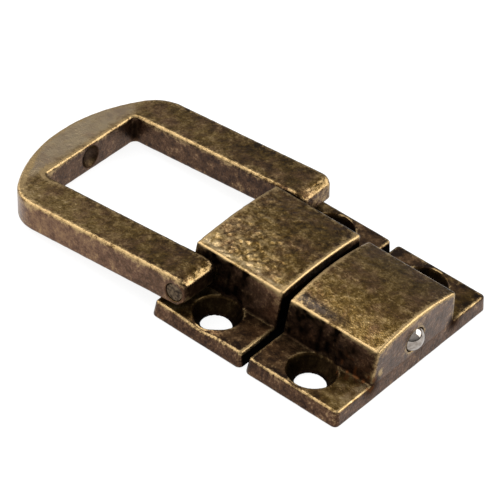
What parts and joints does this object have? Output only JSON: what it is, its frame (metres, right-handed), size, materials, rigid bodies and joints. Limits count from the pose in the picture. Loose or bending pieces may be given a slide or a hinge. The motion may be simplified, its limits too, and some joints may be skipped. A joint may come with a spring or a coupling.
{
  "type": "swing-bail box hasp",
  "caption": "Small cast box hasp: a D-shaped bail turns on a pin in a block on one plate and snaps over a sprung steel ball in the block on the other plate.",
  "frame": {"origin": "midway between the hinge plate's two screw holes, on its back face", "axes": "+X from the hinge plate to the catch plate, +Y along the hinge pin, +Z away from the box"},
  "size_m": [0.0587, 0.0306, 0.0082],
  "materials": {
    "plate_bronze": "antique bronze plating, dark and mottled, worn bright along the edges",
    "bail_bronze": "antique bronze plating, dark and speckled, worn bright along the edges",
    "pin_steel": "steel pin plated with the castings, dull on its ends",
    "ball_steel": "polished steel",
    "spring_steel": "plain drawn wire"
  },
  "bodies": {
    "plates": {"hinge_plate": "plate_bronze", "catch_plate": "plate_bronze", "detent_spring": "spring_steel"},
    "bail": {"bail": "bail_bronze", "hinge_pin": "pin_steel"},
    "detent_ball": {"detent_ball": "ball_steel"}
  },
  "joints": [
    {"name": "bail_swing", "type": "hinge", "parent": "plates", "child": "bail", "pos_m": [-0.00445, 0, 0.00485], "axis": [0, 1, 0], "range_deg": [0, 185.35]},
    {"name": "ball_press", "type": "slide", "parent": "plates", "child": "detent_ball", "axis": [1, 0, 0], "range_m": [-0.0009, 0], "stiffness_N_per_m": 300, "deforming": ["detent_spring"]}
  ]
}
